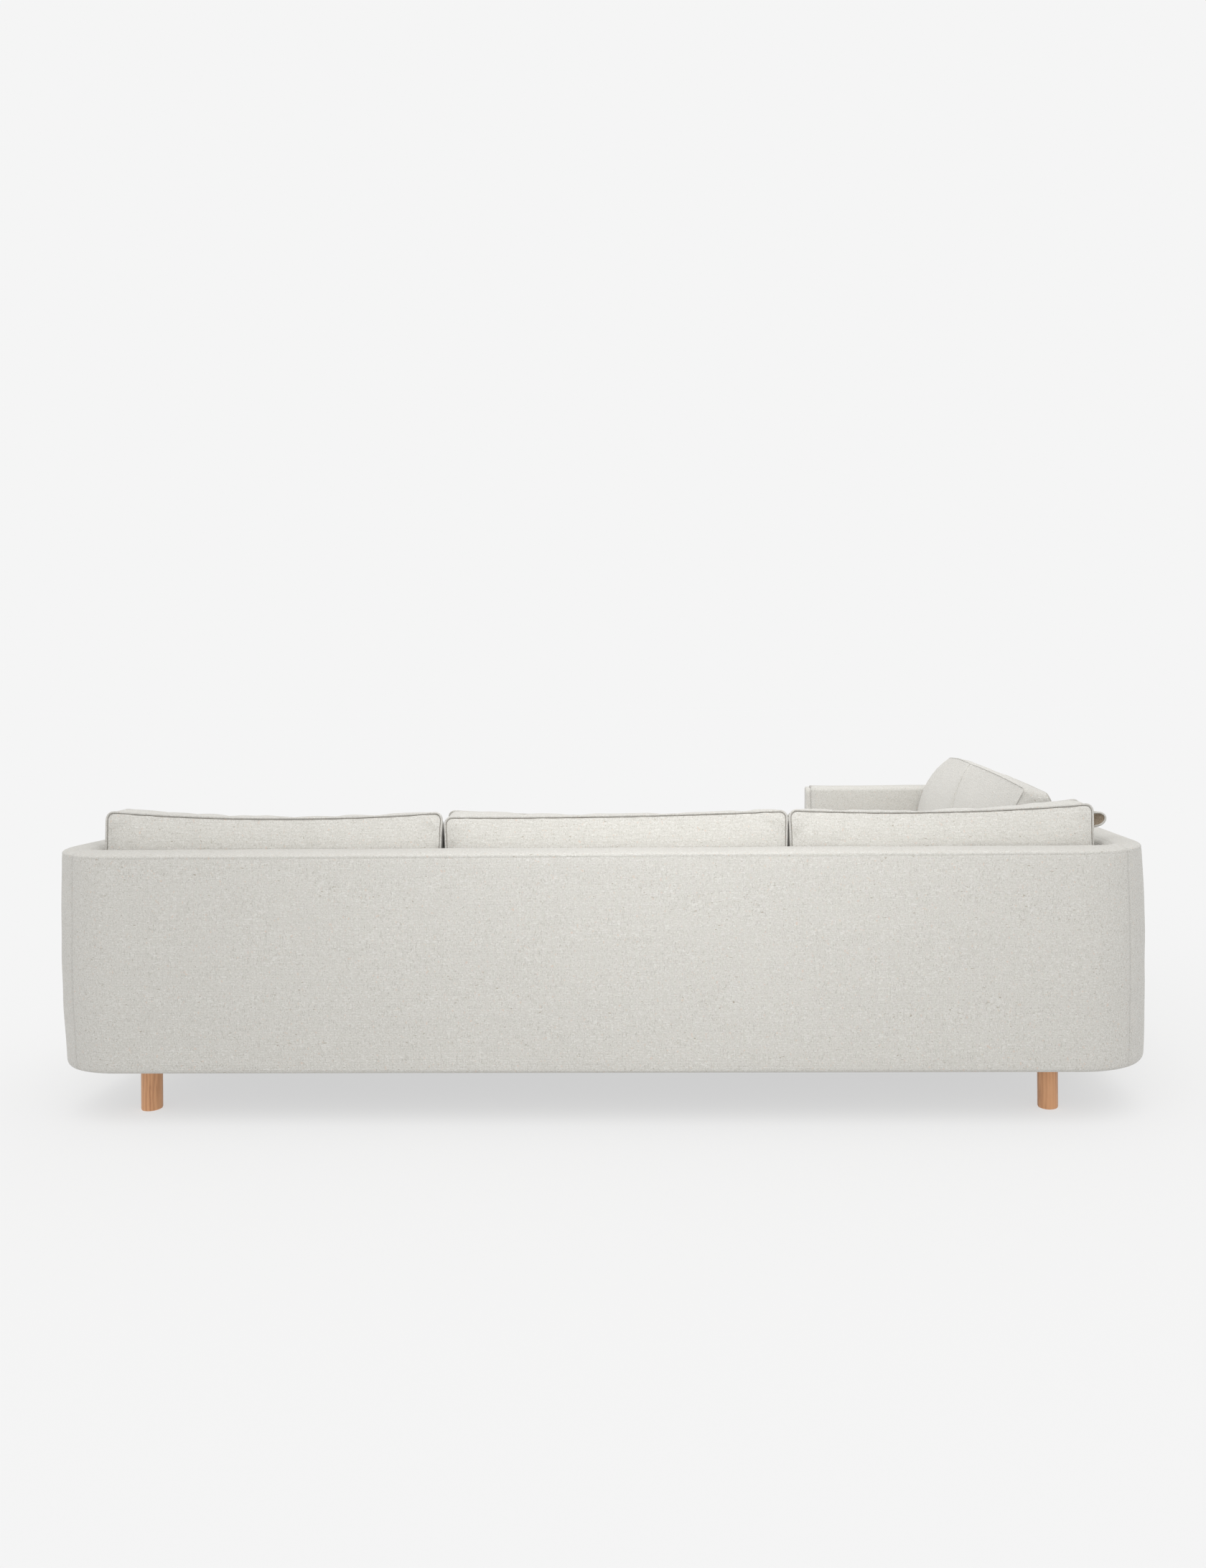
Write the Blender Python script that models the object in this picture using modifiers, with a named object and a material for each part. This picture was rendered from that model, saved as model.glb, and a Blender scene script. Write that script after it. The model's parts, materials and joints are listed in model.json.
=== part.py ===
"""L-shaped sectional sofa on short turned wooden legs.

The long run has its back at +Y and its seats face -Y. The return runs along the -X side towards -Y
and its seats face +X. Metres, +Z up, origin on the floor under the middle of the whole L.
"""
import math

import bmesh
import bpy
from mathutils import Vector

# Whole sofa
WIDTH = 2.95                # along X, outside of the left arm to outside of the return's back
LENGTH = 2.35               # along Y, outside of the long back to outside of the return's arm
RUN_DEPTH = 0.815           # front to back of either run
RIM_HEIGHT = 0.705          # top of the arms and backs
BODY_BOTTOM = 0.135         # underside of the upholstered body
GAP = 0.0003                # between pieces that touch

# Upholstered walls: arms and backs of one thickness
WALL = 0.12
SKIN = 0.018                # padded cover on each side of a wall
RIM_ROUND = 0.022           # rounding of the rim's edges
ROUND_STEPS = 4
CORNER_RADIUS = 0.22        # outside of the rounded corners, seen from above
CORNER_STEPS = 8            # even, so that one step falls on the square inside corner
CORNER_LEAD = 0.010         # straight stretch at each end of a corner's cover
COVER_SHARP = math.radians(30)
WELD_DISTANCE = 0.0001
FRONT_PANEL = 0.0244        # padded panels on the fronts of the arms and seat bases
PANEL_EDGE = 0.010
FASCIA_EDGE = 0.008
PANEL_SEGMENTS = 3

# Timber frame
BOARD = 0.030
TIMBER_PLAY = 0.0015        # timber to the inside of a wall's cover
TOP_PLAY = 0.004
CORNER_POST_SETBACK = 0.014     # corner posts' outer face to the inside of the corner's cover
POST_WIDTH = 0.050
POST_FOOT = BODY_BOTTOM + 0.022
RAIL_TOP = 0.260
LEFT_RAIL_INSET = 0.254     # middle of the left cross rail and its legs from the left arm's outside
CROSS_RAIL_INSET = 0.277    # the same for the other cross rails

# Seat bases
DUST_COVER = 0.0015
STRAP = 0.055
STRAP_PITCH = 0.165
WEBBING = 0.003
DECK_CLOTH = 0.002

# Legs
LEG_RADIUS = 0.027
LEG_EDGE = 0.004
LEG_SIDES = 28
LEG_EDGE_SEGMENTS = 2
LEG_SHARP = math.radians(40)
LEG_RIM_ANGLE = math.radians(60)    # edges sharper than this are softened
LEG_INSET = 0.155           # middle of a leg from the outside of the back
JOINT_LEG_INSET = 0.040     # middle of a return leg from the face where the sections meet

# Cushions
SEAT_TOP = 0.431
BACK_TOP = 0.800            # loose back cushions of the long run
RETURN_BACK_TOP = 0.848
BACK_THICKNESS = 0.210
RETURN_BACK_THICKNESS = 0.220
CUSHION_PLAY = 0.002        # cushion to a wall or to the next cushion
SEAT_TO_BACK = 0.005        # seat cushion to back cushion
LEFT_SPLIT = 0.424          # X where the first and second long-run cushions meet
RIGHT_SPLIT = -0.508        # X where the second and third meet
THIRD_END = -1.345          # X of the third back cushion's free end
RETURN_BACK_LENGTH = 0.870
CUSHION_EDGE = 0.022
CUSHION_SEGMENTS = 3

# Connector between the two sections
CONNECTOR_WIDTH = 0.150
CONNECTOR_METAL = 0.003
CONNECTOR_SHELF_Z = 0.180
CONNECTOR_LIP = 0.030
CONNECTOR_ARM_Z = 0.222
CONNECTOR_HOOK_DROP = 0.032
CONNECTOR_HOOK_REACH = 0.0347
CONNECTOR_SOCKET_REACH = 0.0277

LEFT = WIDTH / 2
RIGHT = -WIDTH / 2
BACK = LENGTH / 2
FAR_END = -LENGTH / 2
MEETING = BACK - RUN_DEPTH          # Y of the face where the sections meet, and of the seats' front
RETURN_FRONT = RIGHT + RUN_DEPTH    # X of the return's front
INNER_LEFT = LEFT - WALL
INNER_RIGHT = RIGHT + WALL
INNER_BACK = BACK - WALL
INNER_FAR = FAR_END + WALL
TIMBER_WIDTH = WALL - 2 * SKIN - 2 * TIMBER_PLAY
TIMBER_TOP = RIM_HEIGHT - SKIN - TOP_PLAY
PLATE_BOTTOM = TIMBER_TOP - BOARD
RAIL_BOTTOM = BODY_BOTTOM + DUST_COVER + 2 * GAP
WEBBING_BOTTOM = RAIL_TOP + GAP
DECK_BOTTOM = WEBBING_BOTTOM + WEBBING + GAP
DECK_TOP = DECK_BOTTOM + DECK_CLOTH
PANEL_TOP = DECK_TOP - GAP
FRONT_RAIL_FACE = MEETING + FRONT_PANEL + 2 * GAP
CORNER_SPAN = CORNER_RADIUS + CORNER_LEAD


def clear_scene():
    """Remove every object that the start-up file brings."""
    for leftover in list(bpy.data.objects):
        bpy.data.objects.remove(leftover, do_unlink=True)


def make_material(name, colour, roughness, metallic=0.0):
    """A Principled material of one colour."""
    material = bpy.data.materials.new(name)
    material.use_nodes = True
    shader = material.node_tree.nodes["Principled BSDF"]
    shader.inputs["Base Color"].default_value = (*colour, 1.0)
    shader.inputs["Roughness"].default_value = roughness
    shader.inputs["Metallic"].default_value = metallic
    material.diffuse_color = (*colour, 1.0)
    return material


def finish_piece(piece, section, material):
    """Name the mesh, give the material, parent to a section's empty and file in the collection."""
    piece.data.name = piece.name
    piece.data.materials.clear()
    piece.data.materials.append(material)
    for holder in list(piece.users_collection):
        holder.objects.unlink(piece)
    SOFA.objects.link(piece)
    piece.parent = section
    return piece


def add_section(name):
    """An empty at the origin that carries the pieces of one section."""
    empty = bpy.data.objects.new(name, None)
    SOFA.objects.link(empty)
    return empty


def add_box(name, section, material, low, high, edge=0.0, segments=1):
    """A box between two corners, with its own centre as origin and bevelled edges if edge is given."""
    size = [b - a for a, b in zip(low, high)]
    centre = [(a + b) / 2 for a, b in zip(low, high)]
    bpy.ops.mesh.primitive_cube_add(size=1.0, location=centre)
    box = bpy.context.object
    box.name = name
    box.scale = size
    bpy.ops.object.transform_apply(location=False, rotation=False, scale=True)
    if edge:
        bevel = box.modifiers.new("Bevel", "BEVEL")
        bevel.width = edge
        bevel.segments = segments
        bevel.limit_method = "ANGLE"
    return finish_piece(box, section, material)


def add_prism(name, section, material, outlines, thickness, location, rotation):
    """A flat shape, extruded by thickness. The first outline is the rim and the others are holes."""
    curve = bpy.data.curves.new(name, "CURVE")
    curve.dimensions = "2D"
    curve.fill_mode = "BOTH"
    curve.extrude = thickness / 2
    for outline in outlines:
        spline = curve.splines.new("POLY")
        spline.points.add(len(outline) - 1)
        spline.use_cyclic_u = True
        for point, (x, y) in zip(spline.points, outline):
            point.co = (x, y, 0.0, 1.0)
    prism = bpy.data.objects.new(name, curve)
    SOFA.objects.link(prism)
    prism.location = location
    prism.rotation_euler = rotation
    weld = prism.modifiers.new("Weld", "WELD")
    weld.merge_threshold = WELD_DISTANCE
    return finish_piece(prism, section, material)


def rim_profile():
    """Across a wall from its outer foot, over the rounded rim, to its inner foot: (depth, height)."""
    points = [(0.0, BODY_BOTTOM)]
    for centre, start in ((RIM_ROUND, math.pi), (WALL - RIM_ROUND, math.pi / 2)):
        for step in range(ROUND_STEPS + 1):
            angle = start - step / ROUND_STEPS * math.pi / 2
            across = centre + RIM_ROUND * math.cos(angle)
            height = RIM_HEIGHT - RIM_ROUND + RIM_ROUND * math.sin(angle)
            points.append((across, height))
    points.append((WALL, BODY_BOTTOM))
    return points


def add_cover(name, section, build_surface, location, turn):
    """A wall's padded cover: an open surface over the rim, thickened inwards."""
    mesh = bpy.data.meshes.new(name)
    surface = bmesh.new()
    build_surface(surface)
    surface.to_mesh(mesh)
    surface.free()
    mesh.shade_smooth()
    mesh.set_sharp_from_angle(angle=COVER_SHARP)
    cover = bpy.data.objects.new(name, mesh)
    SOFA.objects.link(cover)
    cover.location = location
    cover.rotation_euler = (0.0, 0.0, turn)
    shell = cover.modifiers.new("Solidify", "SOLIDIFY")
    shell.thickness = SKIN
    shell.offset = -1.0
    shell.use_even_offset = True
    return finish_piece(cover, section, FABRIC)


def profile_edges(surface, place):
    """The rim profile as a chain of edges, each point placed by place(depth, height)."""
    verts = [surface.verts.new(place(across, height)) for across, height in rim_profile()]
    return [surface.edges.new(pair) for pair in zip(verts, verts[1:])]


def add_straight_cover(name, section, start, length, turn):
    """Cover of a straight wall that runs along its own +X from start, with its outside at +Y."""
    def build_surface(surface):
        edges = profile_edges(surface, lambda across, height: (GAP, -across, height))
        swept = bmesh.ops.extrude_edge_only(surface, edges=edges)["geom"]
        moved = [item for item in swept if isinstance(item, bmesh.types.BMVert)]
        bmesh.ops.translate(surface, verts=moved, vec=(length - 2 * GAP, 0.0, 0.0))
        bmesh.ops.reverse_faces(surface, faces=surface.faces[:])
    return add_cover(name, section, build_surface, (*start, 0.0), turn)


def corner_paths():
    """Matching points along a corner's outer arc and along its square inside, from +X to +Y."""
    inside = CORNER_RADIUS - WALL
    pairs = []
    for step in range(CORNER_STEPS + 1):
        share = step / CORNER_STEPS
        angle = share * math.pi / 2
        outer = Vector((CORNER_RADIUS * math.cos(angle), CORNER_RADIUS * math.sin(angle)))
        inner = Vector((inside * min(1.0, 2 - 2 * share), inside * min(1.0, 2 * share)))
        pairs.append((outer, inner))
    lead_in = Vector((0.0, -CORNER_LEAD))
    lead_out = Vector((-CORNER_LEAD, 0.0))
    first = tuple(point + lead_in for point in pairs[0])
    last = tuple(point + lead_out for point in pairs[-1])
    return [first, *pairs, last]


def add_corner_cover(name, section, centre, turn):
    """Cover of a corner: rounded outside, square inside, lofted between the two paths."""
    def build_surface(surface):
        rows = []
        for outer, inner in corner_paths():
            row = []
            for across, height in rim_profile():
                spot = outer.lerp(inner, across / WALL)
                row.append(surface.verts.new((spot.x, spot.y, height)))
            rows.append(row)
        for row, after in zip(rows, rows[1:]):
            for place in range(len(row) - 1):
                surface.faces.new((row[place], after[place], after[place + 1], row[place + 1]))
    return add_cover(name, section, build_surface, (*centre, 0.0), turn)


def add_walls():
    """The padded covers of the arms and backs, and the panels on the arms' fronts."""
    quarter = math.pi / 2
    round_y = BACK - CORNER_RADIUS
    side_end = BACK - CORNER_SPAN
    side_length = side_end - MEETING
    arm_length = side_length - FRONT_PANEL - GAP
    long_length = WIDTH - 2 * CORNER_SPAN
    far_start = FAR_END + CORNER_SPAN
    arm_start = RETURN_FRONT - FRONT_PANEL - GAP
    add_straight_cover("cover_left_arm", MAIN, (LEFT, side_end), arm_length, -quarter)
    add_straight_cover("cover_main_back", MAIN, (RIGHT + CORNER_SPAN, BACK), long_length, 0.0)
    add_straight_cover("cover_right_side", MAIN, (RIGHT, MEETING), side_length, quarter)
    add_straight_cover("cover_return_back", RETURN, (RIGHT, far_start), MEETING - far_start, quarter)
    add_straight_cover("cover_return_arm", RETURN, (arm_start, FAR_END), arm_length, math.pi)
    add_corner_cover("cover_left_corner", MAIN, (LEFT - CORNER_RADIUS, round_y), 0.0)
    add_corner_cover("cover_right_corner", MAIN, (RIGHT + CORNER_RADIUS, round_y), quarter)
    add_corner_cover(
        "cover_return_corner", RETURN, (RIGHT + CORNER_RADIUS, FAR_END + CORNER_RADIUS), math.pi
    )
    add_box(
        "panel_left_arm_front", MAIN, FABRIC,
        (INNER_LEFT, MEETING, BODY_BOTTOM),
        (LEFT, MEETING + FRONT_PANEL, RIM_HEIGHT),
        edge=PANEL_EDGE, segments=PANEL_SEGMENTS,
    )
    add_box(
        "panel_return_arm_front", RETURN, FABRIC,
        (RETURN_FRONT - FRONT_PANEL, FAR_END, BODY_BOTTOM),
        (RETURN_FRONT, INNER_FAR, RIM_HEIGHT),
        edge=PANEL_EDGE, segments=PANEL_SEGMENTS,
    )


def add_wall_timber():
    """Top plates and posts inside the covers."""
    near = SKIN + TIMBER_PLAY
    far = near + TIMBER_WIDTH
    round_y = BACK - CORNER_RADIUS
    post_top = PLATE_BOTTOM - GAP
    arm_end = MEETING + FRONT_PANEL + GAP
    return_arm_end = RETURN_FRONT - FRONT_PANEL - GAP
    far_round_y = FAR_END + CORNER_RADIUS

    plates = (
        ("top_plate_left_arm", MAIN, (LEFT - far, arm_end), (LEFT - near, round_y)),
        ("top_plate_main_back", MAIN, (RIGHT + CORNER_RADIUS, BACK - far),
         (LEFT - CORNER_RADIUS, BACK - near)),
        ("top_plate_right_side", MAIN, (RIGHT + near, MEETING + GAP), (RIGHT + far, round_y)),
        ("top_plate_return_back", RETURN, (RIGHT + near, far_round_y), (RIGHT + far, MEETING - GAP)),
        ("top_plate_return_arm", RETURN, (RIGHT + CORNER_RADIUS, FAR_END + near),
         (return_arm_end, FAR_END + far)),
    )
    for name, section, low, high in plates:
        add_box(name, section, TIMBER, (*low, PLATE_BOTTOM), (*high, TIMBER_TOP))

    posts = (
        ("post_left_arm_front", MAIN, (LEFT - far, arm_end), (LEFT - near, arm_end + BOARD)),
        ("post_main_back_middle", MAIN, (-POST_WIDTH / 2, BACK - far), (POST_WIDTH / 2, BACK - near)),
        ("post_right_side_joint", MAIN, (RIGHT + near, MEETING + GAP),
         (RIGHT + far, MEETING + GAP + BOARD)),
        ("post_return_joint", RETURN, (RIGHT + near, MEETING - GAP - BOARD),
         (RIGHT + far, MEETING - GAP)),
        ("post_return_arm_front", RETURN, (return_arm_end - BOARD, FAR_END + near),
         (return_arm_end, FAR_END + far)),
    )
    for name, section, low, high in posts:
        add_box(name, section, TIMBER, (*low, POST_FOOT), (*high, post_top))

    corners = (
        ("post_left_corner", MAIN, LEFT - CORNER_RADIUS, round_y, 1, 1),
        ("post_right_corner", MAIN, RIGHT + CORNER_RADIUS, round_y, -1, 1),
        ("post_return_corner", RETURN, RIGHT + CORNER_RADIUS, far_round_y, -1, -1),
    )
    outer_face = CORNER_RADIUS - SKIN - CORNER_POST_SETBACK
    inner_face = (CORNER_RADIUS - WALL + SKIN) * math.sqrt(2)
    reach = (outer_face + inner_face) / 2 * math.sqrt(0.5)
    half = (outer_face - inner_face) / 2 - TOP_PLAY
    for name, section, centre_x, centre_y, side_x, side_y in corners:
        post = add_box(
            name, section, TIMBER,
            (centre_x + side_x * reach - half, centre_y + side_y * reach - POST_WIDTH / 2, POST_FOOT),
            (centre_x + side_x * reach + half, centre_y + side_y * reach + POST_WIDTH / 2, TIMBER_TOP),
        )
        post.rotation_euler = (0.0, 0.0, side_x * side_y * math.pi / 4)


def strap_grid(length, width):
    """Outer rectangle and the holes of a grid of straps, with one corner at the origin."""
    outlines = [[(0.0, 0.0), (length, 0.0), (length, width), (0.0, width)]]
    across = max(1, round((length - STRAP) / STRAP_PITCH))
    along = max(1, round((width - STRAP) / STRAP_PITCH))
    pitch_x = (length - STRAP) / across
    pitch_y = (width - STRAP) / along
    for column in range(across):
        for row in range(along):
            x0 = STRAP + column * pitch_x
            y0 = STRAP + row * pitch_y
            x1 = (column + 1) * pitch_x
            y1 = (row + 1) * pitch_y
            outlines.append([(x0, y0), (x0, y1), (x1, y1), (x1, y0)])
    return outlines


def add_seat_base(label, section, low, high, rails, fascia):
    """Rails, dust cover, webbing and deck cloth of one seat base, and its upholstered front."""
    for name, rail_low, rail_high in rails:
        add_box(name, section, TIMBER, (*rail_low, RAIL_BOTTOM), (*rail_high, RAIL_TOP))
    add_box(
        f"dust_cover_{label}", section, DARK_CLOTH,
        (*low, BODY_BOTTOM + GAP), (*high, BODY_BOTTOM + GAP + DUST_COVER),
    )
    size_x = high[0] - low[0]
    size_y = high[1] - low[1]
    add_prism(
        f"webbing_{label}", section, STRAPS, strap_grid(size_x, size_y), WEBBING,
        (*low, WEBBING_BOTTOM + WEBBING / 2), (0.0, 0.0, 0.0),
    )
    add_box(
        f"deck_cloth_{label}", section, DARK_CLOTH, (*low, DECK_BOTTOM), (*high, DECK_TOP),
    )
    fascia_low, fascia_high = fascia
    add_box(
        f"fascia_{label}", section, FABRIC,
        (*fascia_low, BODY_BOTTOM), (*fascia_high, PANEL_TOP),
        edge=FASCIA_EDGE, segments=PANEL_SEGMENTS,
    )


def add_seat_bases():
    """Both sections' seat bases, between their walls."""
    main_low = (INNER_RIGHT + GAP, FRONT_RAIL_FACE)
    main_high = (INNER_LEFT - GAP, INNER_BACK - GAP)
    cross_left = LEFT - LEFT_RAIL_INSET
    cross_right = RIGHT + CROSS_RAIL_INSET
    cross_low_y = FRONT_RAIL_FACE + BOARD + GAP
    cross_high_y = main_high[1] - BOARD - GAP
    main_rails = [
        ("rail_main_front", main_low, (main_high[0], FRONT_RAIL_FACE + BOARD)),
        ("rail_main_back", (main_low[0], main_high[1] - BOARD), main_high),
    ]
    for name, x in (("rail_main_cross_left", cross_left), ("rail_main_cross_right", cross_right)):
        main_rails.append((name, (x - BOARD / 2, cross_low_y), (x + BOARD / 2, cross_high_y)))
    main_fascia = (
        (RETURN_FRONT + 2 * GAP, MEETING),
        (INNER_LEFT - GAP, MEETING + FRONT_PANEL),
    )
    add_seat_base("main", MAIN, main_low, main_high, main_rails, main_fascia)

    front_face = RETURN_FRONT - FRONT_PANEL - 2 * GAP
    joint_face = MEETING - FRONT_PANEL - 2 * GAP
    return_low = (INNER_RIGHT + GAP, INNER_FAR + GAP)
    return_high = (front_face, joint_face)
    cross_far = FAR_END + CROSS_RAIL_INSET
    cross_low_x = return_low[0] + BOARD + GAP
    cross_high_x = front_face - BOARD - GAP
    return_rails = (
        ("rail_return_back", return_low, (return_low[0] + BOARD, joint_face)),
        ("rail_return_front", (front_face - BOARD, return_low[1]), return_high),
        ("rail_return_joint", (cross_low_x, joint_face - BOARD), (cross_high_x, joint_face)),
        ("rail_return_cross_far", (cross_low_x, cross_far - BOARD / 2),
         (cross_high_x, cross_far + BOARD / 2)),
    )
    return_fascia = (
        (RETURN_FRONT - FRONT_PANEL, INNER_FAR + GAP),
        (RETURN_FRONT, MEETING - GAP),
    )
    add_seat_base("return", RETURN, return_low, return_high, return_rails, return_fascia)


def add_leg(name, section, x, y):
    """A turned leg, softened round its foot and top."""
    bpy.ops.mesh.primitive_cylinder_add(
        vertices=LEG_SIDES, radius=LEG_RADIUS, depth=BODY_BOTTOM, location=(x, y, BODY_BOTTOM / 2)
    )
    leg = bpy.context.object
    leg.name = name
    leg.data.shade_smooth()
    leg.data.set_sharp_from_angle(angle=LEG_SHARP)
    bevel = leg.modifiers.new("Bevel", "BEVEL")
    bevel.width = LEG_EDGE
    bevel.segments = LEG_EDGE_SEGMENTS
    bevel.limit_method = "ANGLE"
    bevel.angle_limit = LEG_RIM_ANGLE
    finish_piece(leg, section, WOOD)


def add_legs():
    """Four legs under each section."""
    back_y = BACK - LEG_INSET
    front_y = MEETING + LEG_INSET
    for side, x in (("left", LEFT - LEFT_RAIL_INSET), ("right", RIGHT + CROSS_RAIL_INSET)):
        add_leg(f"leg_main_back_{side}", MAIN, x, back_y)
        add_leg(f"leg_main_front_{side}", MAIN, x, front_y)
    back_x = RIGHT + LEG_INSET
    front_x = RETURN_FRONT - LEG_INSET
    joint_y = MEETING - FRONT_PANEL - JOINT_LEG_INSET
    for end, y in (("joint", joint_y), ("far", FAR_END + CROSS_RAIL_INSET)):
        add_leg(f"leg_return_back_{end}", RETURN, back_x, y)
        add_leg(f"leg_return_front_{end}", RETURN, front_x, y)


def add_connector():
    """A hook on the return that drops into a pocket on the long run and locks the sections."""
    metal = CONNECTOR_METAL
    x = (INNER_RIGHT + RETURN_FRONT) / 2
    across = (math.pi / 2, 0.0, math.pi / 2)    # outline X to world Y, outline Y to world Z
    reach = CONNECTOR_SOCKET_REACH
    shelf = CONNECTOR_SHELF_Z
    socket = [
        (0.0, shelf), (0.0, RAIL_TOP), (-metal, RAIL_TOP), (-metal, shelf + metal),
        (metal - reach, shelf + metal), (metal - reach, shelf + CONNECTOR_LIP),
        (-reach, shelf + CONNECTOR_LIP), (-reach, shelf),
    ]
    add_prism(
        "connector_socket", MAIN, STEEL, [socket], CONNECTOR_WIDTH,
        (x, FRONT_RAIL_FACE - GAP, 0.0), across,
    )
    reach = CONNECTOR_HOOK_REACH
    arm = CONNECTOR_ARM_Z
    foot = arm - CONNECTOR_HOOK_DROP
    hook = [
        (0.0, RAIL_BOTTOM + metal), (metal, RAIL_BOTTOM + metal), (metal, arm),
        (reach - metal, arm), (reach - metal, foot), (reach, foot), (reach, arm + metal),
        (0.0, arm + metal),
    ]
    joint_face = MEETING - FRONT_PANEL - 2 * GAP
    add_prism(
        "connector_hook", RETURN, STEEL, [hook], CONNECTOR_WIDTH,
        (x, joint_face + GAP, 0.0), across,
    )


def add_cushions():
    """Loose seat and back cushions, plain solids of their full size."""
    play = CUSHION_PLAY
    foot = DECK_TOP + GAP
    back_front = INNER_BACK - play - BACK_THICKNESS
    return_back_front = INNER_RIGHT + play + RETURN_BACK_THICKNESS
    seat_rear = back_front - SEAT_TO_BACK
    return_seat_rear = return_back_front + SEAT_TO_BACK
    seat_front = MEETING + play
    left_end = INNER_LEFT - play
    half = play / 2
    mid_y = (INNER_FAR + MEETING) / 2
    return_split = INNER_FAR + play + RETURN_BACK_LENGTH
    cushions = (
        ("seat_cushion_main_1", MAIN, (LEFT_SPLIT + half, seat_front), (left_end, seat_rear), SEAT_TOP),
        ("seat_cushion_main_2", MAIN, (RIGHT_SPLIT + half, seat_front),
         (LEFT_SPLIT - half, seat_rear), SEAT_TOP),
        ("seat_cushion_corner", MAIN, (return_seat_rear, seat_front),
         (RIGHT_SPLIT - half, seat_rear), SEAT_TOP),
        ("seat_cushion_return_1", RETURN, (return_seat_rear, mid_y + half),
         (RETURN_FRONT - play, MEETING - play), SEAT_TOP),
        ("seat_cushion_return_2", RETURN, (return_seat_rear, INNER_FAR + play),
         (RETURN_FRONT - play, mid_y - half), SEAT_TOP),
        ("back_cushion_main_1", MAIN, (LEFT_SPLIT + half, back_front),
         (left_end, INNER_BACK - play), BACK_TOP),
        ("back_cushion_main_2", MAIN, (RIGHT_SPLIT + half, back_front),
         (LEFT_SPLIT - half, INNER_BACK - play), BACK_TOP),
        ("back_cushion_main_3", MAIN, (THIRD_END, back_front),
         (RIGHT_SPLIT - half, INNER_BACK - play), BACK_TOP),
        ("back_cushion_return_1", RETURN, (INNER_RIGHT + play, return_split + play),
         (return_back_front, return_split + play + RETURN_BACK_LENGTH), RETURN_BACK_TOP),
        ("back_cushion_return_2", RETURN, (INNER_RIGHT + play, INNER_FAR + play),
         (return_back_front, return_split), RETURN_BACK_TOP),
    )
    for name, section, low, high, top in cushions:
        add_box(
            name, section, FABRIC, (*low, foot), (*high, top),
            edge=CUSHION_EDGE, segments=CUSHION_SEGMENTS,
        )


clear_scene()
SOFA = bpy.data.collections.new("sectional_sofa")
bpy.context.scene.collection.children.link(SOFA)
FABRIC = make_material("oatmeal_fabric", (0.60, 0.56, 0.48), 0.92)
WOOD = make_material("leg_wood", (0.45, 0.22, 0.12), 0.45)
TIMBER = make_material("frame_timber", (0.62, 0.47, 0.30), 0.70)
STRAPS = make_material("elastic_webbing", (0.20, 0.17, 0.14), 0.85)
DARK_CLOTH = make_material("black_lining", (0.03, 0.03, 0.03), 0.95)
STEEL = make_material("bracket_steel", (0.45, 0.45, 0.46), 0.35, metallic=1.0)
MAIN = add_section("main_section")
RETURN = add_section("return_section")

add_walls()
add_wall_timber()
add_seat_bases()
add_legs()
add_connector()
add_cushions()
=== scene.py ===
"""Looks for the L-shaped sectional sofa: upholstery, cushions, legs, floor, light and camera."""
import json
import math

import bpy
import numpy as np
from mathutils import Matrix, Vector
from mathutils.kdtree import KDTree

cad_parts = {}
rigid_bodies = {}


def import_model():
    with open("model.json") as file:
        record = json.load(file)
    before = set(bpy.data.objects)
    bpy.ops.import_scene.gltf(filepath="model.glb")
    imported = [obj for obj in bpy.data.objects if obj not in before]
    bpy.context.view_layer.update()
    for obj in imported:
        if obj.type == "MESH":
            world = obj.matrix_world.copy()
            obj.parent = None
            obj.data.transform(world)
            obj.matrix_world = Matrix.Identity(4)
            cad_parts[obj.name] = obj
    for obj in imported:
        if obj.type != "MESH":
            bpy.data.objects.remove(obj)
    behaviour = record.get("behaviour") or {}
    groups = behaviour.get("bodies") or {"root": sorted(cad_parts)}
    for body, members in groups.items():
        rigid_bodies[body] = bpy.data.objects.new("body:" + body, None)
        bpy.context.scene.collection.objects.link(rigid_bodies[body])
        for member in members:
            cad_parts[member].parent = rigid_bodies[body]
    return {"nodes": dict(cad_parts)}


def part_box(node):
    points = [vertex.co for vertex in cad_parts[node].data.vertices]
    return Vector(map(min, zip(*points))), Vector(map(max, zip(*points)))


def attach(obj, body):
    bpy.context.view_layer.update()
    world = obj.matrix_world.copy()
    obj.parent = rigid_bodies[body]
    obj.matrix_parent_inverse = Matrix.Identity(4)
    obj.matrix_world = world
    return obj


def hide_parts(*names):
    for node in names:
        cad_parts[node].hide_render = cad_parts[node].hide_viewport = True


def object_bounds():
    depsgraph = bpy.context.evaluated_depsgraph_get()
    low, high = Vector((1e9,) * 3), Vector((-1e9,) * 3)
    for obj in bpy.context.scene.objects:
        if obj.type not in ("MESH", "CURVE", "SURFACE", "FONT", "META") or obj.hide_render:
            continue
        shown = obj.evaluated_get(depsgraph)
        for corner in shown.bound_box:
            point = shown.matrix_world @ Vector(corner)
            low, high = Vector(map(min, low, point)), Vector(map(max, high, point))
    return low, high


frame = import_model()
CAD_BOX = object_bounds()
NODES = frame["nodes"]
LOW, HIGH = CAD_BOX

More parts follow.
